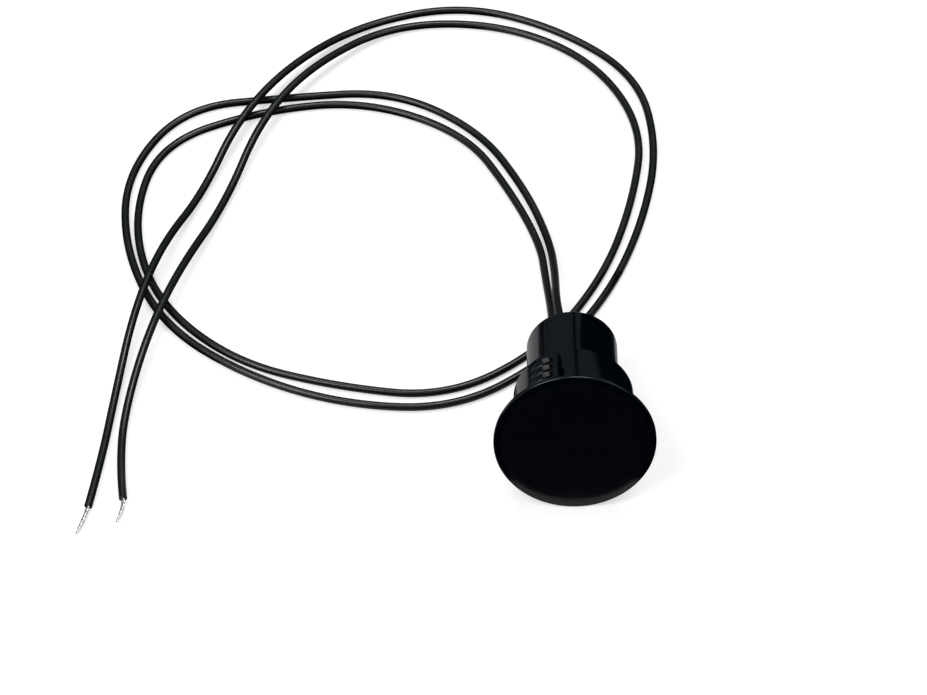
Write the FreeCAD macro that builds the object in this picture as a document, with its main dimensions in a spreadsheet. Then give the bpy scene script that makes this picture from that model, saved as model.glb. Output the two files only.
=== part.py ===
# Recessed magnetic contact: the switch half, lying on its side with its two leads laid out behind it.
# Millimetres and degrees. Each rigid piece is drawn on the contact's own axis, with the face at z = 0
# and the leads' end at +z, and is then laid down on the surface with the rest.
import FreeCAD, Part
import Sketcher
import math
import os

doc = FreeCAD.newDocument("recessed_contact")

# Driving dimensions
SIZES = [
    ("face_od", 33.0, "face disc, across"),
    ("face_thick", 1.3, "face disc, thickness"),
    ("bevel_width", 2.0, "bevel round the face, measured inwards"),
    ("bevel_depth", 0.6, "bevel round the face, measured backwards"),
    ("rim_round", 0.25, "rounding of the bevel's outer edge"),
    ("bevel_soften", 4.0, "radius that blends the bevel into the flat face"),
    ("total_length", 33.0, "face to the leads' end of the barrel"),
    ("barrel_od", 18.8, "barrel, across"),
    ("barrel_wall", 1.35, "barrel, wall"),
    ("barrel_edge", 0.4, "rounding of the barrel's far edge"),
    ("mouth_chamfer", 0.35, "chamfer inside the barrel's mouth"),
    ("front_wall", 2.2, "plastic in front of the bore"),
    ("hub_length", 1.2, "hub behind the face that centres the collar"),
    ("hub_fit", 0.05, "gap between hub and collar"),
    ("seat_height", 0.15, "raised land on the back of the face that carries the collar"),
    ("seat_fit", 0.05, "land beyond the collar's outside"),
    ("flap_room", 1.55, "room round the barrel into which the flaps bend"),
    ("collar_wall", 1.35, "snap collar, wall"),
    ("collar_od", "=barrel_od + 2 * (flap_room + collar_wall)", "snap collar, across"),
    ("collar_length", 14.75, "snap collar, length"),
    ("collar_edge", 0.3, "chamfer on the collar's far edge"),
    ("flap_angle", 34.0, "turn of the collar on the axis"),
    ("flap_free_side", 3.75, "flap's free edge, from its middle"),
    ("flap_hinge_side", 4.3, "flap's hinge line, from its middle"),
    ("flap_slot", 1.8, "slot beside the free edge"),
    ("collar_band", 0.5, "plain band at the collar's front end"),
    ("flap_window", 1.55, "collar's front end to the flap, across the window"),
    ("flap_corner", 1.1, "rounding of the flap's free corner"),
    ("first_scoop", 1.8, "flap's edge near the face to the first scoop's deep end"),
    ("tooth_pitch", 2.4, "tooth to tooth"),
    ("tooth_count", 5, "teeth on each flap"),
    ("tooth_depth", 0.8, "height of a tooth"),
    ("tooth_lean", 0.5, "lean of a tooth's steep side, measured along the axis"),
    ("tooth_land", 0.2, "plain crest of a tooth"),
    ("tooth_width", 5.4, "teeth, across"),
    ("tooth_curve", 4.75, "radius of a tooth's curved edge"),
    ("flap_count", 2, "flaps round the collar"),
    ("finger_angle", 71.5, "snap finger, turned away from the flap's middle"),
    ("finger_width", 1.2, "snap finger, across"),
    ("finger_slit", 0.25, "slit each side of the finger"),
    ("finger_length", 7.55, "collar's front end to the snap finger's root"),
    ("finger_notch", 1.25, "collar's front end to the snap finger's end"),
    ("fill_recess", 1.2, "filling, set back from the barrel's mouth"),
    ("fill_creep", 0.5, "filling that creeps up the wall"),
    ("glass_od", 2.2, "reed capsule, across"),
    ("glass_length", "=total_length * 0.43", "reed capsule, length, suited to the housing"),
    ("glass_wall", 0.25, "reed capsule, wall"),
    ("glass_seal", 1.8, "glass fused round each blade"),
    ("glass_round", 0.5, "rounding of the capsule's ends"),
    ("glass_front", "=total_length * 0.194", "face to the capsule's front end"),
    ("blade_od", 0.56, "reed blade, round part"),
    ("blade_tail", "=total_length * 0.064", "reed blade, round part outside the glass"),
    ("blade_flat_width", 1.1, "reed blade, flat part across"),
    ("blade_flat_thick", 0.2, "reed blade, flat part thickness"),
    ("blade_press", 1.0, "length over which the round part is pressed flat"),
    ("blade_overlap", 1.4, "overlap of the two flat parts"),
    ("blade_gap", 0.1, "gap between the two flat parts"),
    ("damper_wall", 0.6, "soft sleeve round the capsule, wall"),
    ("return_od", 0.6, "return wire, across"),
    ("return_offset", 2.9, "return wire, from the axis"),
    ("return_bend", 1.0, "return wire, bend at the front"),
    ("return_end", "=total_length * 0.745", "face to the return wire's back end"),
    ("sleeve_wall", 0.25, "insulating sleeve on the return wire, wall"),
    ("sleeve_front", "=total_length * 0.218", "face to the insulating sleeve"),
    ("sleeve_length", "=total_length * 0.412", "insulating sleeve, length"),
    ("joint_length", "=total_length * 0.066", "solder joint, length"),
    ("joint_wrap", 0.18, "solder round the wires of a joint"),
    ("bead_radius", 0.8, "solder bead at the front, radius"),
    ("bead_reach", 0.6, "end of the front blade to the bead's middle"),
    ("lead_od", 1.7, "insulated lead, across"),
    ("lead_a_offset", 1.4, "lead a, from the axis where it leaves the filling"),
    ("lead_b_offset", 3.7, "lead b, from the axis where it leaves the filling"),
    ("lead_buried", 2.6, "insulated lead inside the filling"),
    ("core_od", 0.76, "stranded conductor, across"),
    ("tip_straight", 2.4, "stripped end, straight part before its bend"),
    ("joint_tuck", 0.2, "conductor, set back inside its joint"),
]
sheet = doc.addObject("Spreadsheet::Sheet", "dims")
for row, (alias, value, meaning) in enumerate(SIZES, 1):
    sheet.set(f"A{row}", meaning)
    sheet.set(f"B{row}", str(value))
    sheet.setAlias(f"B{row}", alias)
doc.recompute()


def size(alias):
    return float(sheet.get(alias))


# Ways of drawing
def new_body(label):
    body = doc.addObject("PartDesign::Body", label)
    body.Label = label
    return body


def new_sketch(body, plane, name, turned=None, raised=None):
    """A sketch on one of the body's own planes, turned about the axis or raised along it."""
    sketch = body.newObject("Sketcher::SketchObject", name)
    support = next(f for f in body.Origin.OriginFeatures if f.Role == plane)
    sketch.AttachmentSupport = [(support, "")]
    sketch.MapMode = "FlatFace"
    if turned is not None:
        spin = FreeCAD.Rotation(FreeCAD.Vector(0, 1, 0), 0)
        sketch.AttachmentOffset = FreeCAD.Placement(FreeCAD.Vector(0, 0, 0), spin)
        sketch.setExpression("AttachmentOffset.Rotation.Angle", turned)
    if raised is not None:
        sketch.setExpression("AttachmentOffset.Base.z", raised)
    return sketch


def pin_to(sketch, curve, end, across, along):
    """Ties one end of a curve to a place that is worked out from the dimensions."""
    for kind, axis, place in (("DistanceX", -2, across), ("DistanceY", -1, along)):
        if place == "0":
            sketch.addConstraint(Sketcher.Constraint("PointOnObject", curve, end, axis))
            continue
        at = sketch.getPoint(curve, end)
        start_value = at.x if kind == "DistanceX" else at.y
        index = sketch.addConstraint(Sketcher.Constraint(kind, -1, 1, curve, end, start_value))
        sketch.setExpression(f"Constraints[{index}]", place)


def draw_outline(sketch, corners):
    """A closed outline of straight edges through corners given as pairs of expressions."""
    count = len(corners)
    first = sketch.GeometryCount
    turns = [2 * math.pi * i / count for i in range(count)]
    ring = [(10 + 5 * math.cos(turn), 5 * math.sin(turn)) for turn in turns]
    for i in range(count):
        start = FreeCAD.Vector(*ring[i], 0)
        end = FreeCAD.Vector(*ring[(i + 1) % count], 0)
        sketch.addGeometry(Part.LineSegment(start, end), False)
    for i in range(count):
        following = first + (i + 1) % count
        sketch.addConstraint(Sketcher.Constraint("Coincident", first + i, 2, following, 1))
    for i, (across, along) in enumerate(corners):
        pin_to(sketch, first + i, 1, across, along)


def draw_circle(sketch, radius, across="0", along="0"):
    index = sketch.addGeometry(Part.Circle(FreeCAD.Vector(1, 1, 0), FreeCAD.Vector(0, 0, 1), 1), False)
    pin_to(sketch, index, 3, across, along)
    bound = sketch.addConstraint(Sketcher.Constraint("Radius", index, 1.0))
    sketch.setExpression(f"Constraints[{bound}]", radius)


def draw_rectangle(sketch, width, height, middle="0"):
    half = f"({width}) / 2"
    low = f"{middle} - ({height}) / 2"
    high = f"{middle} + ({height}) / 2"
    draw_outline(sketch, [(f"-{half}", low), (half, low), (half, high), (f"-{half}", high)])


def revolve(body, sketch, name="turned"):
    feature = body.newObject("PartDesign::Revolution", name)
    feature.Profile = sketch
    feature.ReferenceAxis = (sketch, ["V_Axis"])
    feature.Angle = 360
    return feature


def pad(body, sketch, length, name):
    feature = body.newObject("PartDesign::Pad", name)
    feature.Profile = sketch
    feature.setExpression("Length", length)
    return feature


def cut_outwards(body, sketch, name):
    """Cuts one wall of a tube: from the axis outwards, the way a side core is drawn."""
    feature = body.newObject("PartDesign::Pocket", name)
    feature.Profile = sketch
    feature.Type = "ThroughAll"
    return feature


def repeat_round(body, features, count, name):
    pattern = body.newObject("PartDesign::PolarPattern", name)
    pattern.Originals = features
    pattern.Axis = (next(f for f in body.Origin.OriginFeatures if f.Role == "Z_Axis"), [""])
    pattern.Angle = 360
    pattern.setExpression("Occurrences", count)
    body.Tip = pattern
    return pattern


def round_edges(feature, radius, height):
    """Names of the circular edges of that radius at that height on the axis."""
    found = []
    for number, edge in enumerate(feature.Shape.Edges, 1):
        if not isinstance(edge.Curve, Part.Circle):
            continue
        same_radius = abs(edge.Curve.Radius - radius) < 1e-4
        same_height = abs(edge.Curve.Center.z - height) < 1e-4
        if same_radius and same_height:
            found.append(f"Edge{number}")
    return found


def soften(body, base, kind, radius, height, **bound):
    """A fillet or chamfer on the round edge at that radius and height."""
    doc.recompute()
    feature = body.newObject(f"PartDesign::{kind}", f"{kind}_{len(body.Group)}")
    feature.Base = (base, round_edges(base, radius, height))
    if "Size2" in bound:
        feature.ChamferType = "Two distances"
    for name, expression in bound.items():
        feature.setExpression(name, expression)
    return feature


# Housing: face disc, land, hub and barrel, moulded in one piece, with a bore that opens at the leads' end
hub_radius = "dims.collar_od / 2 - dims.collar_wall - dims.hub_fit"
bore_radius = "dims.barrel_od / 2 - dims.barrel_wall"
seat_radius = "dims.collar_od / 2 + dims.seat_fit"
seat_top = "dims.face_thick + dims.seat_height"
housing = new_body("housing")
sketch = new_sketch(housing, "XZ_Plane", "housing_profile")
draw_outline(sketch, [
    ("0", "0"),
    ("dims.face_od / 2", "0"),
    ("dims.face_od / 2", "dims.face_thick"),
    (seat_radius, "dims.face_thick"),
    (seat_radius, seat_top),
    (hub_radius, seat_top),
    (hub_radius, "dims.face_thick + dims.hub_length"),
    ("dims.barrel_od / 2", "dims.face_thick + dims.hub_length"),
    ("dims.barrel_od / 2", "dims.total_length"),
    (bore_radius, "dims.total_length"),
    (bore_radius, "dims.front_wall"),
    ("0", "dims.front_wall"),
])
moulding = revolve(housing, sketch)
bevel = soften(housing, moulding, "Chamfer", size("face_od") / 2, 0,
               Size="dims.bevel_width", Size2="dims.bevel_depth")
doc.recompute()
if bevel.Shape.Faces and not round_edges(bevel, size("face_od") / 2 - size("bevel_width"), 0):
    bevel.FlipDirection = True
rim = soften(housing, bevel, "Fillet", size("face_od") / 2, size("bevel_depth"), Radius="dims.rim_round")
blend = soften(housing, rim, "Fillet", size("face_od") / 2 - size("bevel_width"), 0,
               Radius="dims.bevel_soften")
far_edge = soften(housing, blend, "Fillet", size("barrel_od") / 2, size("total_length"),
                  Radius="dims.barrel_edge")
soften(housing, far_edge, "Chamfer", size("barrel_od") / 2 - size("barrel_wall"), size("total_length"),
       Size="dims.mouth_chamfer")

# Snap collar: a sleeve that is pushed over the barrel onto the hub, up to the land behind the face. Its
# toothed flaps are cut free on three sides and bend inwards as the contact goes into its hole
collar_blank = new_body("collar_blank")
sketch = new_sketch(collar_blank, "XZ_Plane", "collar_wall_profile")
draw_outline(sketch, [
    ("dims.collar_od / 2 - dims.collar_wall", "0"),
    ("dims.collar_od / 2", "0"),
    ("dims.collar_od / 2", "dims.collar_length - dims.collar_edge"),
    ("dims.collar_od / 2 - dims.collar_edge", "dims.collar_length"),
    ("dims.collar_od / 2 - dims.collar_wall", "dims.collar_length"),
])
revolve(collar_blank, sketch)

# One cut frees a flap: a window near the face, and a slot along the free edge that opens at the far
# end, where the flap's corner is rounded. A thin band joins the collar's two halves at the face
sketch = new_sketch(collar_blank, "XZ_Plane", "flap_outline")
beyond = "dims.collar_length + 1"
draw_outline(sketch, [
    ("dims.flap_hinge_side", "dims.collar_band"),
    ("dims.flap_hinge_side", "dims.flap_window"),
    ("-dims.flap_free_side", "dims.flap_window"),
    ("-dims.flap_free_side", "dims.collar_length - dims.flap_corner"),
    ("-dims.flap_free_side + dims.flap_corner * 0.29", "dims.collar_length - dims.flap_corner * 0.29"),
    ("-dims.flap_free_side + dims.flap_corner", "dims.collar_length"),
    ("-dims.flap_free_side + dims.flap_corner", beyond),
    ("-dims.flap_free_side - dims.flap_slot", beyond),
    ("-dims.flap_free_side - dims.flap_slot", "dims.collar_band"),
])
flap_cut = cut_outwards(collar_blank, sketch, "flap_cut")

# Beside each flap a narrow snap finger is slit free, with a notch at its end near the face
sketch = new_sketch(collar_blank, "XZ_Plane", "finger_outline", turned="-dims.finger_angle")
half_finger = "dims.finger_width / 2"
outside = "dims.finger_width / 2 + dims.finger_slit"
draw_outline(sketch, [
    (f"-({outside})", "dims.collar_band"),
    (outside, "dims.collar_band"),
    (outside, "dims.finger_length"),
    (half_finger, "dims.finger_length"),
    (half_finger, "dims.finger_notch"),
    (f"-{half_finger}", "dims.finger_notch"),
    (f"-{half_finger}", "dims.finger_length"),
    (f"-({outside})", "dims.finger_length"),
])
finger_cut = cut_outwards(collar_blank, sketch, "finger_cut")
repeat_round(collar_blank, [flap_cut, finger_cut], "dims.flap_count", "flaps_round_collar")

# The teeth are what is left between scoops. Each scoop is turned about a line that crosses the axis, so
# it ramps down away from the face and ends in a steep curved side, the next tooth's back
tooth_scoops = new_body("tooth_scoops")
sketch = new_sketch(tooth_scoops, "YZ_Plane", "scoop_profile")
turning_line = "dims.flap_window + dims.first_scoop - dims.tooth_curve"
deep_end = "dims.flap_window + dims.first_scoop"
outer = "dims.collar_od / 2"
clear = "0.4"
spread = f"(1 + {clear} / dims.tooth_depth)"
ramp = "(dims.tooth_pitch - dims.tooth_lean - dims.tooth_land)"
draw_outline(sketch, [
    (f"{outer} - dims.tooth_depth", deep_end),
    (f"{outer} + {clear}", f"{deep_end} + dims.tooth_lean * {spread}"),
    (f"{outer} + {clear}", f"{deep_end} - {ramp} * {spread}"),
])
axis_line = sketch.addGeometry(Part.LineSegment(FreeCAD.Vector(2, 1, 0), FreeCAD.Vector(20, 1, 0)), True)
pin_to(sketch, axis_line, 1, "dims.collar_od / 4", turning_line)
pin_to(sketch, axis_line, 2, "dims.collar_od", turning_line)
scoop = tooth_scoops.newObject("PartDesign::Revolution", "one_scoop")
scoop.Profile = sketch
scoop.ReferenceAxis = (sketch, ["Axis0"])
scoop.Angle = 150
scoop.Midplane = True
row_of_scoops = tooth_scoops.newObject("PartDesign::LinearPattern", "row_of_scoops")
row_of_scoops.Originals = [scoop]
row_of_scoops.Direction = (next(f for f in tooth_scoops.Origin.OriginFeatures if f.Role == "Z_Axis"), [""])
row_of_scoops.Mode = "Spacing"
row_of_scoops.setExpression("Offset", "dims.tooth_pitch")
row_of_scoops.setExpression("Occurrences", "dims.tooth_count")
tooth_scoops.Tip = row_of_scoops
sketch = new_sketch(tooth_scoops, "XZ_Plane", "scoop_sides")
for side in ("", "-"):
    draw_outline(sketch, [
        (f"{side}dims.tooth_width / 2", "-dims.tooth_curve"),
        (f"{side}dims.collar_od", "-dims.tooth_curve"),
        (f"{side}dims.collar_od", beyond),
        (f"{side}dims.tooth_width / 2", beyond),
    ])
cut_outwards(tooth_scoops, sketch, "trim_sides")
doc.recompute()

snap_collar = doc.addObject("Part::Cut", "snap_collar")
snap_collar.Label = "snap_collar"
snap_collar.Base = collar_blank
snap_collar.Tool = tooth_scoops
doc.recompute()

# How the contact lies: on the rim of its face and on the far edge of its barrel, with the leads' end low
rim_radius = size("face_od") / 2
edge_centre = size("barrel_od") / 2 - size("barrel_edge")
edge_run = size("total_length") - size("barrel_edge") - size("face_thick")
edge_drop = rim_radius - edge_centre
lean = math.atan2(edge_drop, edge_run) - math.asin(size("barrel_edge") / math.hypot(edge_run, edge_drop))
rearwards = FreeCAD.Vector(0, math.cos(lean), -math.sin(lean))
upwards = FreeCAD.Vector(0, math.sin(lean), math.cos(lean))
leaning = FreeCAD.Rotation(FreeCAD.Vector(-1, 0, 0), upwards, rearwards, "ZYX")
face_height = rim_radius * math.cos(lean) + size("face_thick") * math.sin(lean)
standing = housing.Shape.copy()
standing.Placement = FreeCAD.Placement(FreeCAD.Vector(0, 0, face_height), leaning)
reach = standing.optimalBoundingBox(False, False)
laid = FreeCAD.Placement(FreeCAD.Vector(0, -(reach.YMin + reach.YMax) / 2, face_height), leaning)


def on_axis(across, along):
    """Where a place on the contact's own axes, across and along, comes to lie."""
    return laid.multVec(FreeCAD.Vector(across, 0, along))


housing.Placement = laid
collar_turn = FreeCAD.Rotation(FreeCAD.Vector(0, 0, 1), -size("flap_angle"))
collar_start = size("face_thick") + size("seat_height")
collar_seat = FreeCAD.Placement(FreeCAD.Vector(0, 0, collar_start), collar_turn)
snap_collar.Placement = laid.multiply(collar_seat)


# Reed switch: a glass capsule with two blades that overlap in its middle
def round_bar(label, radius, start, end):
    """A round bar or bead blank on the axis."""
    body = new_body(label)
    sketch = new_sketch(body, "XZ_Plane", f"{label}_profile")
    draw_outline(sketch, [("0", start), (radius, start), (radius, end), ("0", end)])
    revolve(body, sketch)
    body.Placement = laid
    return body


def bar(label, radii, start, end, across="0"):
    """A rod, or a tube where a second radius is given, parallel to the axis."""
    body = new_body(label)
    sketch = new_sketch(body, "XY_Plane", f"{label}_section", raised=start)
    for radius in radii:
        draw_circle(sketch, radius, across)
    pad(body, sketch, f"{end} - ({start})", "drawn")
    body.Placement = laid
    return body


def draw_slot(sketch, radius, left, right):
    """A long hole's outline, round at both ends."""
    ahead = FreeCAD.Vector(0, 0, 1)
    first = sketch.GeometryCount
    left_circle = Part.Circle(FreeCAD.Vector(-1, 0, 0), ahead, 1)
    right_circle = Part.Circle(FreeCAD.Vector(1, 0, 0), ahead, 1)
    sketch.addGeometry(Part.ArcOfCircle(left_circle, math.pi / 2, 3 * math.pi / 2), False)
    sketch.addGeometry(Part.LineSegment(FreeCAD.Vector(-1, -1, 0), FreeCAD.Vector(1, -1, 0)), False)
    sketch.addGeometry(Part.ArcOfCircle(right_circle, -math.pi / 2, math.pi / 2), False)
    sketch.addGeometry(Part.LineSegment(FreeCAD.Vector(1, 1, 0), FreeCAD.Vector(-1, 1, 0)), False)
    for i in range(4):
        following = first + (i + 1) % 4
        sketch.addConstraint(Sketcher.Constraint("Tangent", first + i, 2, following, 1))
    pin_to(sketch, first, 3, left, "0")
    pin_to(sketch, first + 2, 3, right, "0")
    for end in (first, first + 2):
        bound = sketch.addConstraint(Sketcher.Constraint("Radius", end, 1.0))
        sketch.setExpression(f"Constraints[{bound}]", radius)


def cut_away(label, base, tools):
    """The piece that is left of a blank once what passes through it is taken away."""
    tool = tools[0]
    if len(tools) > 1:
        tool = doc.addObject("Part::MultiFuse", f"inside_{label}")
        tool.Shapes = tools
    piece = doc.addObject("Part::Cut", label)
    piece.Label = label
    piece.Base = base
    piece.Tool = tool
    return piece


glass_back = "(dims.glass_front + dims.glass_length)"
glass_middle = "(dims.glass_front + dims.glass_length / 2)"
capsule = round_bar("capsule_blank", "dims.glass_od / 2", "dims.glass_front", glass_back)
front_round = soften(capsule, capsule.Tip, "Fillet", size("glass_od") / 2, size("glass_front"),
                     Radius="dims.glass_round")
soften(capsule, front_round, "Fillet", size("glass_od") / 2, size("glass_front") + size("glass_length"),
       Radius="dims.glass_round")
capsule_space = new_body("capsule_space")
sketch = new_sketch(capsule_space, "XZ_Plane", "capsule_space_profile")
draw_outline(sketch, [
    ("0", "dims.glass_front - 1"),
    ("dims.blade_od / 2", "dims.glass_front - 1"),
    ("dims.blade_od / 2", "dims.glass_front + dims.glass_seal"),
    ("dims.glass_od / 2 - dims.glass_wall", "dims.glass_front + dims.glass_seal"),
    ("dims.glass_od / 2 - dims.glass_wall", f"{glass_back} - dims.glass_seal"),
    ("dims.blade_od / 2", f"{glass_back} - dims.glass_seal"),
    ("dims.blade_od / 2", f"{glass_back} + 1"),
    ("0", f"{glass_back} + 1"),
])
revolve(capsule_space, sketch)
capsule_space.Placement = laid
reed_glass = cut_away("reed_glass", capsule, [capsule_space])
damping_sleeve = bar("damping_sleeve", ["dims.glass_od / 2 + dims.damper_wall", "dims.glass_od / 2"],
                     "dims.glass_front + dims.glass_round", f"{glass_back} - dims.glass_round")


def reed_blade(label, round_from, round_to, flat_from, flat_to, pressed_from, pressed_to, side):
    """A round wire whose inner end is pressed flat, off the axis by half the gap between the blades."""
    body = new_body(label)
    offset = f"{side} * (dims.blade_gap + dims.blade_flat_thick) / 2"
    sketch = new_sketch(body, "XY_Plane", f"{label}_wire", raised=round_from)
    draw_circle(sketch, "dims.blade_od / 2")
    pad(body, sketch, f"{round_to} - ({round_from})", "wire")
    circle_end = new_sketch(body, "XY_Plane", f"{label}_round_end", raised=pressed_from)
    draw_circle(circle_end, "dims.blade_od / 2")
    flat_end = new_sketch(body, "XY_Plane", f"{label}_flat_end", raised=pressed_to)
    draw_rectangle(flat_end, "dims.blade_flat_width", "dims.blade_flat_thick", offset)
    pressed = body.newObject("PartDesign::AdditiveLoft", "pressed")
    pressed.Profile = circle_end
    pressed.Sections = [(flat_end, [""])]
    sketch = new_sketch(body, "XY_Plane", f"{label}_flat", raised=flat_from)
    draw_rectangle(sketch, "dims.blade_flat_width", "dims.blade_flat_thick", offset)
    pad(body, sketch, f"{flat_to} - ({flat_from})", "flat")
    body.Placement = laid
    return body


seal_end = "dims.glass_front + dims.glass_seal"
seal_start = f"{glass_back} - dims.glass_seal"
blade_front = reed_blade(
    "reed_blade_front", "dims.glass_front - dims.blade_tail", seal_end,
    f"{seal_end} + dims.blade_press", f"{glass_middle} + dims.blade_overlap / 2",
    seal_end, f"{seal_end} + dims.blade_press", 1)
blade_rear = reed_blade(
    "reed_blade_rear", seal_start, f"{glass_back} + dims.blade_tail",
    f"{glass_middle} - dims.blade_overlap / 2", f"{seal_start} - dims.blade_press",
    seal_start, f"{seal_start} - dims.blade_press", -1)

# Return wire: from the front blade's end across and back beside the capsule, in a sleeve. Its route is
# drawn roughly and then tied to its places
wire_height = "dims.glass_front - dims.blade_tail + dims.bead_reach"
return_wire = new_body("return_wire")
route = new_sketch(return_wire, "XZ_Plane", "return_route")
route.addGeometry(Part.LineSegment(FreeCAD.Vector(0.3, 5, 0), FreeCAD.Vector(1.9, 5, 0)), False)
bend = Part.ArcOfCircle(Part.Circle(FreeCAD.Vector(1.9, 6, 0), FreeCAD.Vector(0, 0, 1), 1), -math.pi / 2, 0)
route.addGeometry(bend, False)
route.addGeometry(Part.LineSegment(FreeCAD.Vector(2.9, 6, 0), FreeCAD.Vector(2.9, 24, 0)), False)
route.addConstraint(Sketcher.Constraint("Coincident", 0, 2, 1, 1))
route.addConstraint(Sketcher.Constraint("Coincident", 1, 2, 2, 1))
pin_to(route, 0, 1, "dims.blade_od / 2", wire_height)
pin_to(route, 0, 2, "dims.return_offset - dims.return_bend", wire_height)
pin_to(route, 2, 1, "dims.return_offset", f"{wire_height} + dims.return_bend")
pin_to(route, 2, 2, "dims.return_offset", "dims.return_end")
bound = route.addConstraint(Sketcher.Constraint("Radius", 1, 1.0))
route.setExpression(f"Constraints[{bound}]", "dims.return_bend")
section = new_sketch(return_wire, "YZ_Plane", "return_section", raised="dims.blade_od / 2")
draw_circle(section, "dims.return_od / 2", "0", wire_height)
drawn = return_wire.newObject("PartDesign::AdditivePipe", "drawn_wire")
drawn.Profile = section
drawn.Spine = (route, [])
return_wire.Placement = laid
return_sleeve = bar("return_sleeve", ["dims.return_od / 2 + dims.sleeve_wall", "dims.return_od / 2"],
                    "dims.sleeve_front", "dims.sleeve_front + dims.sleeve_length", "dims.return_offset")


# Conductors: each lead's stranded core runs on from its insulation to its joint. Lead a goes to the rear
# blade, and lead b to the return wire
fill_end = "dims.total_length - dims.fill_recess"
lead_start = f"{fill_end} - dims.lead_buried"
rear_joint = "dims.glass_front + dims.glass_length + dims.blade_tail + dims.joint_tuck - dims.joint_length"
return_joint = "dims.return_end + dims.joint_tuck - dims.joint_length"
core_a = bar("lead_a_core", ["dims.core_od / 2"], f"{rear_joint} + dims.joint_tuck", lead_start,
             "dims.lead_a_offset")
core_b = bar("lead_b_core", ["dims.core_od / 2"], f"{return_joint} + dims.joint_tuck", lead_start,
             "dims.lead_b_offset")


# Solder: a bead at the front, and a joint that wraps the two wires of each pair
def joint_blank(label, start, left, right):
    body = new_body(label)
    sketch = new_sketch(body, "XY_Plane", f"{label}_section", raised=start)
    draw_slot(sketch, "dims.core_od / 2 + dims.joint_wrap", left, right)
    pad(body, sketch, "dims.joint_length", "joint")
    body.Placement = laid
    return body


bead = new_body("bead_blank")
sketch = new_sketch(bead, "XZ_Plane", "bead_profile")
sketch.addGeometry(Part.ArcOfCircle(Part.Circle(FreeCAD.Vector(0, 5, 0), FreeCAD.Vector(0, 0, 1), 0.8),
                                    -math.pi / 2, math.pi / 2), False)
sketch.addGeometry(Part.LineSegment(FreeCAD.Vector(0, 5.8, 0), FreeCAD.Vector(0, 4.2, 0)), False)
sketch.addConstraint(Sketcher.Constraint("Coincident", 0, 2, 1, 1))
sketch.addConstraint(Sketcher.Constraint("Coincident", 1, 2, 0, 1))
pin_to(sketch, 0, 3, "0", wire_height)
sketch.addConstraint(Sketcher.Constraint("Vertical", 1))
sketch.addConstraint(Sketcher.Constraint("PointOnObject", 0, 3, 1))
bound = sketch.addConstraint(Sketcher.Constraint("Radius", 0, 0.8))
sketch.setExpression(f"Constraints[{bound}]", "dims.bead_radius")
revolve(bead, sketch)
bead.Placement = laid
rear_blank = joint_blank("rear_joint_blank", rear_joint, "0", "dims.lead_a_offset")
return_blank = joint_blank("return_joint_blank", return_joint, "dims.return_offset", "dims.lead_b_offset")
solder_front = cut_away("solder_front", bead, [blade_front, return_wire])
solder_rear = cut_away("solder_rear", rear_blank, [blade_rear, core_a])
solder_return = cut_away("solder_return", return_blank, [return_wire, core_b])

# Filling: fills the bore round everything in it, and creeps a little way up the wall
fill = new_body("fill_blank")
sketch = new_sketch(fill, "XZ_Plane", "fill_profile")
draw_outline(sketch, [
    ("0", "dims.front_wall"),
    (bore_radius, "dims.front_wall"),
    (bore_radius, f"{fill_end} + dims.fill_creep"),
    (f"{bore_radius} - dims.fill_creep", fill_end),
    ("0", fill_end),
])
revolve(fill, sketch)
fill.Placement = laid
beyond_fill = "dims.total_length + 1"
lead_holes = [
    bar(f"lead_hole_{side}", ["dims.lead_od / 2"], lead_start, beyond_fill, f"dims.lead_{side}_offset")
    for side in ("a", "b")
]
damper_blank = bar("damper_blank", ["dims.glass_od / 2 + dims.damper_wall"],
                   "dims.glass_front + dims.glass_round", f"{glass_back} - dims.glass_round")
wire_blank = bar("sleeved_wire_blank", ["dims.return_od / 2 + dims.sleeve_wall"],
                 "dims.sleeve_front", "dims.sleeve_front + dims.sleeve_length", "dims.return_offset")
potting = cut_away("potting", fill, [
    capsule, damper_blank, blade_front, blade_rear, return_wire, wire_blank, bead, rear_blank, return_blank,
    core_a, core_b, *lead_holes,
])
doc.recompute()

# Leads: each leaves the filling along the axis, comes down to the surface and lies there in two turns,
# over itself where the turns cross. Points of the routes, where the arcs between the runs would meet
start_along = size("total_length") - size("fill_recess") - size("lead_buried")
LEAD_A_STRAIGHT_TO = 38.0
LEAD_B_STRAIGHT_TO = 36.0
ON_FLOOR = 0.9
OVER = 4.2
LEAD_A = [
    (-3, 31, 7.1), (-3, 43, 3.2), (-4, 54, ON_FLOOR), (-9, 69, ON_FLOOR), (-19, 87, ON_FLOOR),
    (-38, 99, ON_FLOOR), (-61, 97, ON_FLOOR), (-84, 94, ON_FLOOR), (-96, 74, ON_FLOOR),
    (-95, 51, ON_FLOOR), (-86, 30, ON_FLOOR), (-68, 16, ON_FLOOR), (-47, 8, ON_FLOOR),
    (-24, 7, ON_FLOOR), (-5, 20, ON_FLOOR), (8, 38, ON_FLOOR), (16, 59, ON_FLOOR), (20, 82, ON_FLOOR),
    (16, 104, ON_FLOOR), (-2, 119, ON_FLOOR), (-23, 126, ON_FLOOR), (-45, 120, ON_FLOOR),
    (-61, 104, OVER), (-72, 87, OVER), (-79, 68, ON_FLOOR), (-87, 50, OVER), (-92, 31, OVER),
    (-95, 11, ON_FLOOR), (-97, -7, ON_FLOOR), (-99, -19, ON_FLOOR),
]
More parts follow.
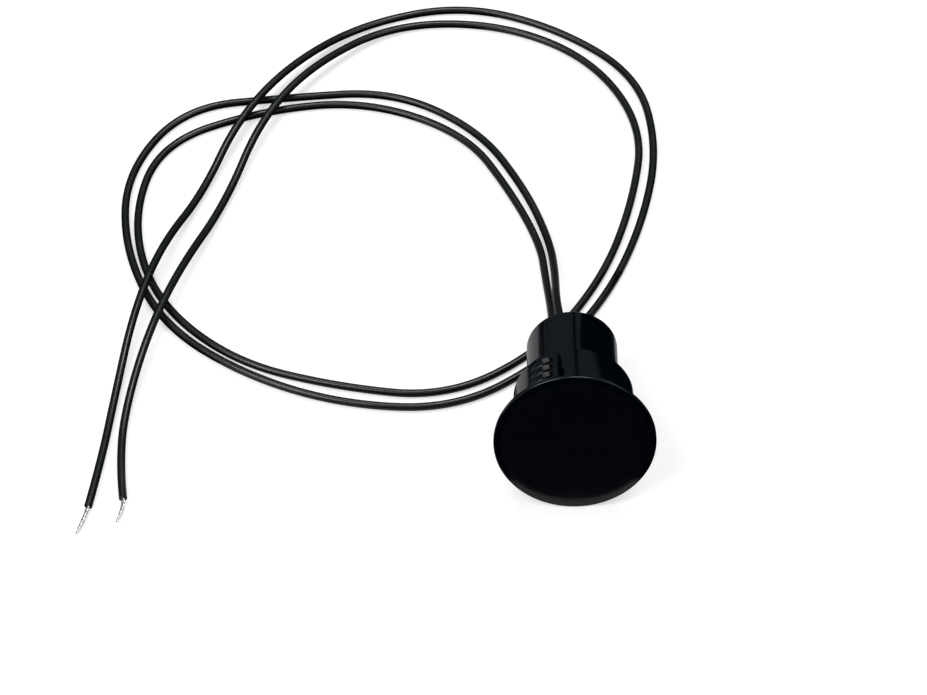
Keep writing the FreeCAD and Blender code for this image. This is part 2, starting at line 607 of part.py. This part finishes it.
LEAD_B = [
    (-4, 31, 4.7), (-5, 42, 2.0), (-6, 53, ON_FLOOR), (-12, 68, ON_FLOOR), (-22, 86, ON_FLOOR),
    (-44, 96, ON_FLOOR), (-67, 93, ON_FLOOR), (-89, 83, ON_FLOOR), (-94, 60, ON_FLOOR),
    (-88, 37, ON_FLOOR), (-71, 20, ON_FLOOR), (-49, 13, ON_FLOOR), (-26, 10, ON_FLOOR),
    (-6, 23, ON_FLOOR), (7, 43, ON_FLOOR), (14, 65, ON_FLOOR), (17, 88, ON_FLOOR), (6, 109, ON_FLOOR),
    (-14, 120, ON_FLOOR), (-38, 120, ON_FLOOR), (-56, 104, OVER), (-67, 87, OVER), (-74, 65, ON_FLOOR),
    (-83, 43, OVER), (-89, 24, OVER), (-93, 5, ON_FLOOR), (-93, -9, ON_FLOOR), (-92, -17, ON_FLOOR),
]
TIP_A_END = (-101, -26, ON_FLOOR)
TIP_B_END = (-93, -23, ON_FLOOR)


def corner(before, at, after, share=0.45):
    """The arc that rounds one point of a route, as large as its two runs allow."""
    back = before - at
    ahead = after - at
    half_turn = (math.pi - back.getAngle(ahead)) / 2
    used = share * min(back.Length, ahead.Length)
    radius = used / math.tan(half_turn)
    start = at + back.normalize() * used
    end = at + ahead.normalize() * used
    middle_of_turn = (back + ahead).normalize()
    bow = radius / math.cos(half_turn) - radius
    return start, at + middle_of_turn * bow, end, radius


def tube(label, points, radius):
    """A round tube along straight runs joined by tangent arcs."""
    points = [FreeCAD.Vector(*point) for point in points]
    edges = []
    radii = []
    here = points[0]
    for before, at, after in zip(points, points[1:], points[2:]):
        start, middle, end, bend_radius = corner(before, at, after)
        edges.append(Part.LineSegment(here, start).toShape())
        edges.append(Part.Arc(start, middle, end).toShape())
        radii.append(bend_radius)
        here = end
    edges.append(Part.LineSegment(here, points[-1]).toShape())
    path = Part.Wire(edges)
    ring = Part.Wire(Part.makeCircle(radius, points[0], points[1] - points[0]))
    piece = doc.addObject("Part::Feature", label)
    piece.Label = label
    piece.Shape = path.makePipeShell([ring], True, False)
    expected = math.pi * radius ** 2 * path.Length
    print(f"{label}: length {path.Length:.1f}, radii from {min(radii):.1f}, "
          f"volume {piece.Shape.Volume:.1f} against {expected:.1f}")
    return piece


leads = []
for name, across, straight_to, rest, tip_end in (
    ("lead_a", size("lead_a_offset"), LEAD_A_STRAIGHT_TO, LEAD_A, TIP_A_END),
    ("lead_b", size("lead_b_offset"), LEAD_B_STRAIGHT_TO, LEAD_B, TIP_B_END),
):
    points = [on_axis(across, start_along), on_axis(across, straight_to), *rest]
    leads.append(tube(name, points, size("lead_od") / 2))
    end = FreeCAD.Vector(*rest[-1])
    onwards = (end - FreeCAD.Vector(*rest[-2])).normalize()
    bare = [end, end + onwards * size("tip_straight"), tip_end]
    leads.append(tube(f"{name}_tip", bare, size("core_od") / 2))
    leaves = on_axis(across, size("total_length") - size("fill_recess"))
    for meaning, place in (("starts", points[0]), ("first bend", points[1]), ("leaves the filling", leaves)):
        print(name, meaning, [round(v, 3) for v in place])

# Every object must have come out sound before anything is written
NODES = [
    housing, snap_collar, potting, reed_glass, blade_front, blade_rear, damping_sleeve, return_wire,
    return_sleeve, solder_front, solder_rear, solder_return, core_a, core_b, *leads,
]
doc.recompute()
for piece in doc.Objects:
    if {"Invalid", "Error"} & set(piece.State):
        raise RuntimeError(f"{piece.Name} did not build: {piece.State}")
for piece in NODES:
    if piece.Shape.isNull() or not piece.Shape.isValid():
        raise RuntimeError(f"{piece.Label} has no sound shape")
    if len(piece.Shape.Solids) != 1:
        raise RuntimeError(f"{piece.Label} is not one solid but {len(piece.Shape.Solids)}")

os.makedirs("parts", exist_ok=True)
for piece in NODES:
    piece.Shape.exportStep(f"parts/{piece.Label}.step")
    print(f"{piece.Label}: volume {piece.Shape.Volume:.1f}")
print(f"lean {math.degrees(lean):.2f} degrees, face centre at {laid.Base}")
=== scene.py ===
# Looks of a recessed magnetic contact that lies on a white surface with its two leads.
import bpy
import math
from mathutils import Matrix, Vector


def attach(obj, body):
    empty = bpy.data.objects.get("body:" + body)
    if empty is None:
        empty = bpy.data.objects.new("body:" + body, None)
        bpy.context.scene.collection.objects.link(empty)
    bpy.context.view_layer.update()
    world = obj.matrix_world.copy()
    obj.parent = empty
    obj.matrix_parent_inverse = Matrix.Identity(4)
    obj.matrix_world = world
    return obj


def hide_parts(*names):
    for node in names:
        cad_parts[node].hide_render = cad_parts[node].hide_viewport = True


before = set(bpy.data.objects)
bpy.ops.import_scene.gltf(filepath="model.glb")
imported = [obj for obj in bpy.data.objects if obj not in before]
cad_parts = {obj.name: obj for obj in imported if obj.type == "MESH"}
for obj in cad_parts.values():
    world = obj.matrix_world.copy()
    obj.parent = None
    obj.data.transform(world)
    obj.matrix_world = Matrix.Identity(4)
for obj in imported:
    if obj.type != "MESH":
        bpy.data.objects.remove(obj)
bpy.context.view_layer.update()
scene = bpy.context.scene
scene.view_settings.view_transform = "Standard"

# Housing: the plug that is pushed into the drilled hole, with its round face, hub and barrel moulded in
# one piece of black plastic. The mould's polish shows on the barrel and rim, and the flat face is satin.
# It lies on the rim of its face and on the far edge of its barrel, so its leads' end is low.
MM = 0.001
LEAN = math.radians(12.763)
FACE_CENTRE = Vector((0, -15.505, 16.380)) * MM
BEVEL_DEPTH = 0.6 * MM
SATIN_DEPTH = 0.25 * BEVEL_DEPTH
MOULDING_BLACK = (0.0001, 0.0009, 0.0024, 1)
POLISHED = (0.11, 0.17)
SATIN = (0.28, 0.33)
POLISH_WAVES = 0.05
MOULD_GRAIN = 0.03


def new_material(name):
    material = bpy.data.materials.new(name)
    material.use_nodes = True
    tree = material.node_tree
    return material, tree, tree.nodes["Principled BSDF"]


def node(tree, kind, **values):
    made = tree.nodes.new(kind)
    for name, value in values.items():
        if hasattr(made, name):
            setattr(made, name, value)
        else:
            made.inputs[name.replace("_", " ")].default_value = value
    return made


def link(tree, source, output, target, socket):
    tree.links.new(source.outputs[output], target.inputs[socket])


def ramp(tree, source, output, stops):
    made = tree.nodes.new("ShaderNodeValToRGB")
    elements = made.color_ramp.elements
    while len(elements) < len(stops):
        elements.new(0.5)
    for element, (position, value) in zip(elements, stops):
        element.position = position
        element.color = (value, value, value, 1) if isinstance(value, (int, float)) else (*value, 1)
    link(tree, source, output, made, "Fac")
    return made


def bump(tree, shader, fields, depth):
    """Adds noise fields one on another. Each comes with its strength."""
    before = None
    for field, strength in fields:
        made = node(tree, "ShaderNodeBump", Strength=strength, Distance=depth)
        link(tree, field, "Fac", made, "Height")
        if before:
            link(tree, before, "Normal", made, "Normal")
        before = made
    link(tree, before, "Normal", shader, "Normal")


def noise_field(tree, vector, scale, detail=2.0):
    made = node(tree, "ShaderNodeTexNoise", Scale=scale, Detail=detail)
    tree.links.new(vector, made.inputs["Vector"])
    return made


def drift(tree, field, span, values):
    """A value that drifts from one to the other while the noise field rises over its span."""
    return ramp(tree, field, "Fac", list(zip(span, values))).outputs["Color"]


def object_space(tree):
    return node(tree, "ShaderNodeTexCoord").outputs["Object"]


def contact_space(tree):
    """Coordinates that follow the contact: z runs back along its axis from the face."""
    mapping = node(tree, "ShaderNodeMapping", vector_type="TEXTURE")
    mapping.inputs["Location"].default_value = FACE_CENTRE
    mapping.inputs["Rotation"].default_value = (-math.pi / 2 - LEAN, 0, 0)
    tree.links.new(object_space(tree), mapping.inputs["Vector"])
    return mapping.outputs["Vector"]


def black_moulding(name):
    """Polished black plastic, with the flat of the face satin and faint waves in the polish."""
    material, tree, shader = new_material(name)
    space = contact_space(tree)
    shader.inputs["Base Color"].default_value = MOULDING_BLACK
    parts = node(tree, "ShaderNodeSeparateXYZ")
    tree.links.new(space, parts.inputs["Vector"])
    on_face = node(tree, "ShaderNodeMath", operation="LESS_THAN")
    link(tree, parts, "Z", on_face, 0)
    on_face.inputs[1].default_value = SATIN_DEPTH
    polish = drift(tree, noise_field(tree, space, scale=90, detail=3.0), (0.35, 0.7), POLISHED)
    satin = drift(tree, noise_field(tree, space, scale=160, detail=4.0), (0.3, 0.7), SATIN)
    finish = node(tree, "ShaderNodeMix", data_type="FLOAT")
    link(tree, on_face, "Value", finish, "Factor")
    tree.links.new(polish, finish.inputs["A"])
    tree.links.new(satin, finish.inputs["B"])
    tree.links.new(finish.outputs["Result"], shader.inputs["Roughness"])
    waves = noise_field(tree, space, scale=120, detail=1.0)
    grain = noise_field(tree, space, scale=4500)
    bump(tree, shader, [(waves, POLISH_WAVES), (grain, MOULD_GRAIN)], depth=0.2 * MM)
    return material


def dress(material, *names):
    """Gives CAD nodes their finish."""
    for name in names:
        piece = bpy.data.objects[name]
        piece.data.materials.clear()
        piece.data.materials.append(material)


moulding = black_moulding("black_moulding")
dress(moulding, "housing")

# Snap collar: a sleeve of the same black plastic, pushed over the barrel onto the hub and up to the low
# land behind the face. Two toothed flaps and two narrow fingers are moulded free in its wall, so they
# spring inwards in the hole.
dress(moulding, "snap_collar")

# Filling: black casting resin, poured into the bore round the reed switch and the leads' ends. It set
# with a soft, slightly dished surface a little inside the barrel's mouth.
RESIN_BLACK = (0.006, 0.006, 0.0065, 1)
RESIN_ROUGHNESS = (0.25, 0.5)
RESIN_DIPS = 0.4


def potting_resin(name):
    material, tree, shader = new_material(name)
    space = object_space(tree)
    shader.inputs["Base Color"].default_value = RESIN_BLACK
    clouds = noise_field(tree, space, scale=400, detail=3.0)
    tree.links.new(drift(tree, clouds, (0.3, 0.75), RESIN_ROUGHNESS), shader.inputs["Roughness"])
    bump(tree, shader, [(noise_field(tree, space, scale=300), RESIN_DIPS)], depth=0.4 * MM)
    return material


dress(potting_resin("potting_resin"), "potting")

# Reed switch: a green-tinted glass capsule fused round two plated nickel-iron blades, in a soft sleeve
# that keeps the filling's shrinkage off the glass. It is cast in, and nothing of it shows from outside.
GLASS_GREEN = (0.55, 0.75, 0.6, 1)
GLASS_CLEARNESS = 0.9
GLASS_ROUGHNESS = 0.05
GLASS_WAVES = 0.1
BLADE_METAL = (0.62, 0.6, 0.57)
BLADE_ROUGHNESS = 0.3
METAL_UNEVENNESS = 0.15
METAL_GRAIN = 0.3
SLEEVE_PALE = (0.6, 0.6, 0.58, 1)
SLEEVE_ROUGHNESS = 0.5
SLEEVE_GRAIN = 0.2


def reed_glass(name):
    material, tree, shader = new_material(name)
    shader.inputs["Base Color"].default_value = GLASS_GREEN
    shader.inputs["Transmission Weight"].default_value = GLASS_CLEARNESS
    shader.inputs["Roughness"].default_value = GLASS_ROUGHNESS
    waves = noise_field(tree, object_space(tree), scale=300, detail=1.0)
    bump(tree, shader, [(waves, GLASS_WAVES)], depth=0.2 * MM)
    return material


def metal(name, colour, rough):
    """Plated or tinned metal with a fine grain, and rougher where the grain stands up."""
    material, tree, shader = new_material(name)
    shader.inputs["Base Color"].default_value = (*colour, 1)
    shader.inputs["Metallic"].default_value = 1.0
    grain = noise_field(tree, object_space(tree), scale=2500)
    gloss = drift(tree, grain, (0.3, 0.7), (rough, rough + METAL_UNEVENNESS))
    tree.links.new(gloss, shader.inputs["Roughness"])
    bump(tree, shader, [(grain, METAL_GRAIN)], depth=0.1 * MM)
    return material


def soft_sleeve(name):
    material, tree, shader = new_material(name)
    shader.inputs["Base Color"].default_value = SLEEVE_PALE
    shader.inputs["Roughness"].default_value = SLEEVE_ROUGHNESS
    grain = noise_field(tree, object_space(tree), scale=1500)
    bump(tree, shader, [(grain, SLEEVE_GRAIN)], depth=0.2 * MM)
    return material


dress(reed_glass("reed_glass"), "reed_glass")
dress(metal("reed_metal", BLADE_METAL, BLADE_ROUGHNESS), "reed_blade_front", "reed_blade_rear")
dress(soft_sleeve("soft_sleeve"), "damping_sleeve")

# Return wire and joints: a tinned wire in a thin black sleeve brings the front blade's end back beside
# the capsule, and bright solder joins it, the rear blade and the leads' conductors. All are cast in.
INSULATION_BLACK = (0.002, 0.002, 0.0022, 1)
INSULATION_ROUGHNESS = (0.24, 0.36)
INSULATION_GRAIN = 0.12
TINNED = (0.78, 0.77, 0.75)
SOLDER_BRIGHT = (0.72, 0.72, 0.73)
TIN_ROUGHNESS = 0.2


def black_insulation(name):
    """Soft black plastic drawn on a wire: half gloss, with a faint unevenness along it."""
    material, tree, shader = new_material(name)
    space = object_space(tree)
    shader.inputs["Base Color"].default_value = INSULATION_BLACK
    clouds = noise_field(tree, space, scale=150, detail=3.0)
    tree.links.new(drift(tree, clouds, (0.35, 0.7), INSULATION_ROUGHNESS), shader.inputs["Roughness"])
    bump(tree, shader, [(noise_field(tree, space, scale=900), INSULATION_GRAIN)], depth=0.2 * MM)
    return material


tinned_copper = metal("tinned_copper", TINNED, TIN_ROUGHNESS)
dress(tinned_copper, "return_wire", "lead_a_core", "lead_b_core", "lead_a_tip", "lead_b_tip")
dress(black_insulation("wire_sleeve"), "return_sleeve")
dress(metal("solder", SOLDER_BRIGHT, TIN_ROUGHNESS), "solder_front", "solder_rear", "solder_return")

# Leads: two limp wires in soft black insulation, cast into the filling. They come out side by side, one
# rises over the other, and both lie on the surface in two loose turns. Sizes and points are in
# millimetres.
ON_FLOOR = 0.9
OVER = 4.2
LEAD_DIAMETER = 1.7
ROUTES = {
    "lead_a": [
        (-1.4, 12.973, 9.929), (-1.4, 21.556, 7.985),
        (-3, 31, 7.1), (-3, 43, 3.2), (-4, 54, ON_FLOOR), (-9, 69, ON_FLOOR), (-19, 87, ON_FLOOR),
        (-38, 99, ON_FLOOR), (-61, 97, ON_FLOOR), (-84, 94, ON_FLOOR), (-96, 74, ON_FLOOR),
        (-95, 51, ON_FLOOR), (-86, 30, ON_FLOOR), (-68, 16, ON_FLOOR), (-47, 8, ON_FLOOR),
        (-24, 7, ON_FLOOR), (-5, 20, ON_FLOOR), (8, 38, ON_FLOOR), (16, 59, ON_FLOOR), (20, 82, ON_FLOOR),
        (16, 104, ON_FLOOR), (-2, 119, ON_FLOOR), (-23, 126, ON_FLOOR), (-45, 120, ON_FLOOR),
        (-61, 104, OVER), (-72, 87, OVER), (-79, 68, ON_FLOOR), (-87, 50, OVER), (-92, 31, OVER),
        (-95, 11, ON_FLOOR), (-97, -7, ON_FLOOR), (-99, -19, ON_FLOOR),
    ],
    "lead_b": [
        (-3.7, 12.973, 9.929), (-3.7, 19.605, 8.427),
        (-4, 31, 4.7), (-5, 42, 2.0), (-6, 53, ON_FLOOR), (-12, 68, ON_FLOOR), (-22, 86, ON_FLOOR),
        (-44, 96, ON_FLOOR), (-67, 93, ON_FLOOR), (-89, 83, ON_FLOOR), (-94, 60, ON_FLOOR),
        (-88, 37, ON_FLOOR), (-71, 20, ON_FLOOR), (-49, 13, ON_FLOOR), (-26, 10, ON_FLOOR),
        (-6, 23, ON_FLOOR), (7, 43, ON_FLOOR), (14, 65, ON_FLOOR), (17, 88, ON_FLOOR), (6, 109, ON_FLOOR),
        (-14, 120, ON_FLOOR), (-38, 120, ON_FLOOR), (-56, 104, OVER), (-67, 87, OVER), (-74, 65, ON_FLOOR),
        (-83, 43, OVER), (-89, 24, OVER), (-93, 5, ON_FLOOR), (-93, -9, ON_FLOOR), (-92, -17, ON_FLOOR),
    ],
}
TIP_STRAIGHT = 2.4
TIP_ENDS = {"lead_a": (-101, -26, ON_FLOOR), "lead_b": (-93, -23, ON_FLOOR)}
STRANDS = 6
STRAND_DIAMETER = 0.25
STRAND_LAY = 7.0
TWIST_DIAMETER = 2.2 * STRAND_DIAMETER
TIP_TAPER = 0.45
TAPER_FROM = 0.55
LINE_STEPS = 16
TIP_STEPS = 40
LEAD_ROUNDING = 5
STRAND_ROUNDING = 3


def smooth_line(name, points):
    """A curve with these points as its control points, with no thickness yet."""
    data = bpy.data.curves.new(name, "CURVE")
    data.dimensions = "3D"
    data.resolution_u = LINE_STEPS
    spline = data.splines.new("NURBS")
    spline.points.add(len(points) - 1)
    for point, place in zip(spline.points, points):
        point.co = (*(Vector(place) * MM), 1)
    spline.order_u = 3
    spline.use_endpoint_u = True
    line = bpy.data.objects.new(name, data)
    scene.collection.objects.link(line)
    return line


def strand(name, line_points, turn, distance, diameter):
    """One tinned strand, wound round the middle of the conductor and drawn in towards its end."""
    data = bpy.data.curves.new(name, "CURVE")
    data.dimensions = "3D"
    data.bevel_depth = diameter / 2 * MM
    data.bevel_resolution = STRAND_ROUNDING
    data.use_fill_caps = True
    spline = data.splines.new("POLY")
    spline.points.add(len(line_points) - 1)
    gone = 0.0
    total = sum((b - a).length for a, b in zip(line_points, line_points[1:]))
    for i, (point, place) in enumerate(zip(spline.points, line_points)):
        ahead = line_points[min(i + 1, len(line_points) - 1)] - line_points[max(i - 1, 0)]
        side = ahead.cross(Vector((0, 0, 1))).normalized()
        up = side.cross(ahead).normalized()
        if i:
            gone += (place - line_points[i - 1]).length
        drawn_in = 1 - TIP_TAPER * max(0.0, gone / total - TAPER_FROM) / (1 - TAPER_FROM)
        angle = turn + 2 * math.pi * gone / (STRAND_LAY * MM)
        out = distance * MM * drawn_in
        point.co = (*(place + side * math.cos(angle) * out + up * math.sin(angle) * out), 1)
        point.radius = drawn_in
    made = bpy.data.objects.new(name, data)
    scene.collection.objects.link(made)
    return made


def bare_tip(name):
    """The stripped end of a lead: twisted strands under a skin of tin, bent a little aside."""
    end, before = Vector(ROUTES[name][-1]), Vector(ROUTES[name][-2])
    onwards = (end - before).normalized()
    line = smooth_line(f"{name}_tip_line", [end, end + onwards * TIP_STRAIGHT, TIP_ENDS[name]])
    line.data.resolution_u = TIP_STEPS
    mesh = bpy.data.meshes.new_from_object(line)
    line_points = [vertex.co.copy() for vertex in mesh.vertices]
    bpy.data.objects.remove(line)
    made = [strand(f"{name}_bare", line_points, 0.0, 0.0, TWIST_DIAMETER)]
    for i in range(STRANDS):
        turn = 2 * math.pi * i / STRANDS
        made.append(strand(f"{name}_strand", line_points, turn, STRAND_DIAMETER, STRAND_DIAMETER))
    bpy.ops.object.select_all(action="DESELECT")
    for piece in made:
        piece.select_set(True)
    bpy.context.view_layer.objects.active = made[0]
    bpy.ops.object.convert(target="MESH")
    bpy.ops.object.join()
    piece = bpy.context.object
    piece.name = f"{name}_bare"
    piece.data.materials.clear()
    piece.data.materials.append(tinned_copper)
    bpy.ops.object.shade_smooth()
    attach(piece, "root")
    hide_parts(f"{name}_tip")
    return piece


def make_lead(name, insulation):
    """One insulated lead: a smooth line through its route, round and capped, with its bare tip."""
    wire = smooth_line(f"{name}_wire", ROUTES[name])
    wire.data.bevel_depth = LEAD_DIAMETER / 2 * MM
    wire.data.bevel_resolution = LEAD_ROUNDING
    wire.data.use_fill_caps = True
    wire.data.materials.append(insulation)
    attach(wire, "root")
    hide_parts(name)
    bare_tip(name)


lead_insulation = black_insulation("lead_insulation")
dress(lead_insulation, "lead_a", "lead_b")
for lead in ROUTES:
    make_lead(lead, lead_insulation)

# Surface: a wide sheet of white paper under the contact. It shows white to the camera, and greyer in the
# polished plastic, where it is given a darker painted tone, and it keeps the contact's shadow.
PAPER_SIZE = 6.0
PAPER_ROUGHNESS = 0.9
PAPER = 0.62
# Painted shade: the paper's darker tone where it is seen in reflections.
PAPER_IN_GLOSS = 0.4
PAPER_GLOW = 0.52
PAPER_GLOW_IN_GLOSS = 0.05


def paper_glow(tree):
    """A glow for the camera, and a weaker one for reflections and for what is seen through glass."""
    rays = node(tree, "ShaderNodeLightPath")
    strength = None
    for output, share in (
        ("Is Camera Ray", PAPER_GLOW),
        ("Is Glossy Ray", PAPER_GLOW_IN_GLOSS),
        ("Is Transmission Ray", PAPER_GLOW_IN_GLOSS),
    ):
        step = node(tree, "ShaderNodeMath", operation="MULTIPLY_ADD")
        link(tree, rays, output, step, 0)
        step.inputs[1].default_value = share
        step.inputs[2].default_value = 0.0
        if strength:
            link(tree, strength, "Value", step, 2)
        strength = step
    glow = node(tree, "ShaderNodeEmission")
    link(tree, strength, "Value", glow, "Strength")
    return glow


def make_floor():
    bpy.ops.mesh.primitive_plane_add(size=PAPER_SIZE, location=(0, 0, 0))
    floor = bpy.context.object
    floor.name = "floor"
    material, tree, shader = new_material("floor_paper")
    rays = node(tree, "ShaderNodeLightPath")
    # Painted shade: seen in reflections, the paper takes a darker tone than the camera sees.
    tone = ramp(tree, rays, "Is Glossy Ray", [(0.0, PAPER), (1.0, PAPER_IN_GLOSS)])
    link(tree, tone, "Color", shader, "Base Color")
    shader.inputs["Roughness"].default_value = PAPER_ROUGHNESS
    shader.inputs["Specular IOR Level"].default_value = 0.0
    both = node(tree, "ShaderNodeAddShader")
    link(tree, shader, "BSDF", both, 0)
    link(tree, paper_glow(tree), "Emission", both, 1)
    link(tree, both, "Shader", tree.nodes["Material Output"], "Surface")
    floor.data.materials.append(material)


make_floor()

# Light: soft boxes above, and an even dim room. Black cards keep the face and one flank dark, and a
# bright one lights the teeth, as a photographer's flags do. They show only in reflections. Sizes and
# places are in millimetres.
ROOM = 0.35
ROOM_COOL = Vector((0.78, 0.97, 1.01))
ROOM_IN_GLOSS = [(0.0, 0.05), (0.12, 0.13), (0.4, 0.155), (0.6, 0.17), (0.85, 0.5)]
CARD_HEIGHT = 0.3
CARD_BLACK = (0.003, 0.005, 0.007, 1)


def card(name, size, place, turn=(0, 0, 0), glow=0.0):
    """A black card, or a bright one if it glows. It lies on the paper unless it is turned up."""
    bpy.ops.mesh.primitive_plane_add(size=1.0, location=Vector(place) * MM,
                                     rotation=[math.radians(angle) for angle in turn])
    made = bpy.context.object
    made.name = name
    made.scale = (size[0] * MM, size[1] * MM, 1)
    material, tree, shader = new_material(name)
    shader.inputs["Base Color"].default_value = CARD_BLACK
    shader.inputs["Roughness"].default_value = 1.0
    shader.inputs["Specular IOR Level"].default_value = 0.0
    shader.inputs["Emission Color"].default_value = (1, 1, 1, 1)
    shader.inputs["Emission Strength"].default_value = glow
    made.data.materials.append(material)
    made.visible_camera = False
    made.visible_diffuse = False
    made.visible_shadow = False


def soft_light(name, place, size, power):
    """A soft box that is turned to the middle of the scene. Its power is in watts."""
    data = bpy.data.lights.new(name, "AREA")
    data.shape = "RECTANGLE"
    data.size = size[0] * MM
    data.size_y = size[1] * MM
    data.energy = power
    light = bpy.data.objects.new(name, data)
    scene.collection.objects.link(light)
    light.location = Vector(place) * MM
    light.rotation_euler = (-Vector(place)).to_track_quat("-Z", "Y").to_euler()


def make_world():
    world = bpy.data.worlds.new("studio")
    scene.world = world
    world.use_nodes = True
    tree = world.node_tree
    rays = node(tree, "ShaderNodeLightPath")
    looking = node(tree, "ShaderNodeTexCoord")
    height = node(tree, "ShaderNodeSeparateXYZ")
    link(tree, looking, "Generated", height, "Vector")
    tones = [(position, tuple(ROOM_COOL * value)) for position, value in ROOM_IN_GLOSS]
    room = ramp(tree, height, "Z", tones)
    shared = tree.nodes["Background"]
    shared.inputs["Color"].default_value = (1, 1, 1, 1)
    shared.inputs["Strength"].default_value = ROOM
    in_gloss = node(tree, "ShaderNodeBackground", Strength=1.0)
    link(tree, room, "Color", in_gloss, "Color")
    seen = node(tree, "ShaderNodeBackground", Color=(1, 1, 1, 1), Strength=1.0)
    for share, other in (("Is Glossy Ray", in_gloss), ("Is Camera Ray", seen)):
        mixed = node(tree, "ShaderNodeMixShader")
        link(tree, rays, share, mixed, 0)
        tree.links.new(shared.outputs[0], mixed.inputs[1])
        link(tree, other, "Background", mixed, 2)
        shared = mixed
    link(tree, shared, "Shader", tree.nodes["World Output"], "Surface")


card("front_card", (600, 400), (0, -223, CARD_HEIGHT))
card("front_flag", (600, 110), (0, -300, 55), (90, 0, 0))
card("right_card", (400, 500), (217, 100, CARD_HEIGHT))
card("right_flag", (120, 37), (69, 45, 18.5), (90, 0, 0))
card("far_card", (900, 500), (-266.5, 187, CARD_HEIGHT), (0, 0, 60))
card("far_pole", (30, 400), (24, 400, 210), (90, 0, 0))
card("side_glow", (380, 300), (-560, -500, 150), (90, 0, -48), 1.5)
soft_light("key", (-500, -350, 800), (500, 500), 5.0)
soft_light("top", (100, 350, 950), (400, 250), 3.5)
soft_light("fill", (700, -300, 700), (500, 500), 1.5)
make_world()

# Camera: above the contact's face, and far enough away to see it almost without perspective, as the
# photograph was taken. Places in the picture are in pixels, and the distance is in metres.
SENSOR_WIDTH = 36.0
NEAR_CLIP = 0.01
PHOTO_WIDTH = 927
PHOTO_CENTRE = (463.5, 347.5)
FACE_PIXEL = (575.0, 444.4)
FOCAL_PIXELS = 4461.0
CAMERA_DISTANCE = 0.9
CAMERA_ELEVATION = math.radians(49)


def make_camera():
    data = bpy.data.cameras.new("camera")
    data.sensor_width = SENSOR_WIDTH
    data.lens = FOCAL_PIXELS / PHOTO_WIDTH * SENSOR_WIDTH
    data.clip_start = NEAR_CLIP
    camera = bpy.data.objects.new("camera", data)
    scene.collection.objects.link(camera)
    looking = Vector((0, math.cos(CAMERA_ELEVATION), -math.sin(CAMERA_ELEVATION)))
    up = Vector((0, math.sin(CAMERA_ELEVATION), math.cos(CAMERA_ELEVATION)))
    right = Vector((1, 0, 0))
    pixel = CAMERA_DISTANCE / FOCAL_PIXELS
    across = (FACE_PIXEL[0] - PHOTO_CENTRE[0]) * pixel
    down = (FACE_PIXEL[1] - PHOTO_CENTRE[1]) * pixel
    camera.location = FACE_CENTRE - looking * CAMERA_DISTANCE - right * across + up * down
    camera.rotation_euler = (math.pi / 2 - CAMERA_ELEVATION, 0, 0)
    scene.camera = camera


make_camera()
